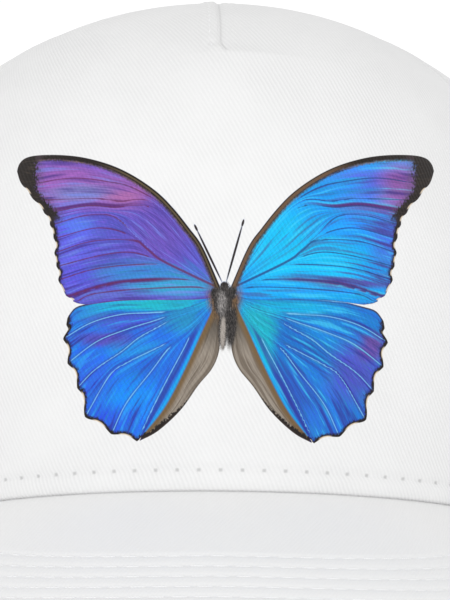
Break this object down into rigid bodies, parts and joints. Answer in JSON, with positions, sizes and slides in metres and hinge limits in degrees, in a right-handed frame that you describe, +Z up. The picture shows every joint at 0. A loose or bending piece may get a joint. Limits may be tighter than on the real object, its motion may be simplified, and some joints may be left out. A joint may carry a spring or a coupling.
{
  "type": "baseball cap",
  "caption": "White cotton cap with a tall seamless front, a curved visor, a covered button, sewn eyelets and a cloth strap with a metal slide; a blue butterfly is printed on the front.",
  "frame": {"origin": "middle of the footprint, on the surface that the visor's sides and the back of the hem rest on", "axes": "+Z up, -Y out of the front over the visor, +X to the wearer's left"},
  "size_m": [0.1754, 0.271, 0.1372],
  "materials": {
    "crown_twill": "matt cotton twill, white",
    "visor_twill": "matt cotton twill pressed on a stiff board, white",
    "strap_twill": "folded and topstitched cotton twill, white",
    "sweatband_cotton": "plain cotton, white",
    "buckram": "stiff open cotton weave, off-white",
    "seam_tape": "folded cotton tape, white",
    "eyelet_thread": "satin-stitched polyester thread, white",
    "slide_steel": "nickel-plated steel",
    "washer_steel": "plain pressed steel"
  },
  "bodies": {
    "root": {"front_panel": "crown_twill", "side_panel_left": "crown_twill", "side_panel_right": "crown_twill", "back_panel_left": "crown_twill", "back_panel_right": "crown_twill", "button": "crown_twill", "visor": "visor_twill", "strap_long": "strap_twill", "strap_tab": "strap_twill", "sweatband": "sweatband_cotton", "front_stiffener": "buckram", "seam_tape_front_left": "seam_tape", "seam_tape_front_right": "seam_tape", "seam_tape_side_left": "seam_tape", "seam_tape_side_right": "seam_tape", "seam_tape_back": "seam_tape", "opening_tape": "seam_tape", "eyelet_side_left": "eyelet_thread", "eyelet_side_right": "eyelet_thread", "eyelet_back_left": "eyelet_thread", "eyelet_back_right": "eyelet_thread", "strap_slide": "slide_steel", "button_washer": "washer_steel"}
  },
  "joints": []
}
